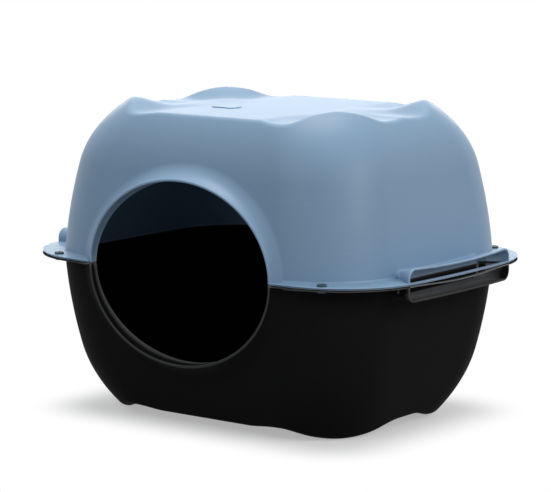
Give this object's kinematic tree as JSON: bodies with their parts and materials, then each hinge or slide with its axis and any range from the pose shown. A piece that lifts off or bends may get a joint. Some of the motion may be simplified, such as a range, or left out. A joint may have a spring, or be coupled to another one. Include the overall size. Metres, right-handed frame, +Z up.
{
  "type": "litter box",
  "caption": "Enclosed cat litter box: a rounded lift-off hood over a tub, with a round front entrance, a rim flange, arched end grips and corner snap pins.",
  "frame": {"origin": "on the floor plane of the feet, under the middle of the box", "axes": "+X along the long front towards the right grip, +Y from the entrance to the back, +Z up"},
  "size_m": [0.546, 0.4059, 0.385],
  "materials": {
    "hood_plastic": "satin moulded",
    "tub_plastic": "satin moulded",
    "pin_plastic": "satin moulded"
  },
  "bodies": {
    "tub": {"tub": "tub_plastic", "pin_front_left": "pin_plastic", "pin_front_right": "pin_plastic", "pin_back_left": "pin_plastic", "pin_back_right": "pin_plastic"},
    "hood": {"hood": "hood_plastic"}
  },
  "joints": [
    {"name": "hood_lift", "type": "slide", "parent": "tub", "child": "hood", "axis": [0, 0, 1], "range_m": [0, 0.25]}
  ]
}
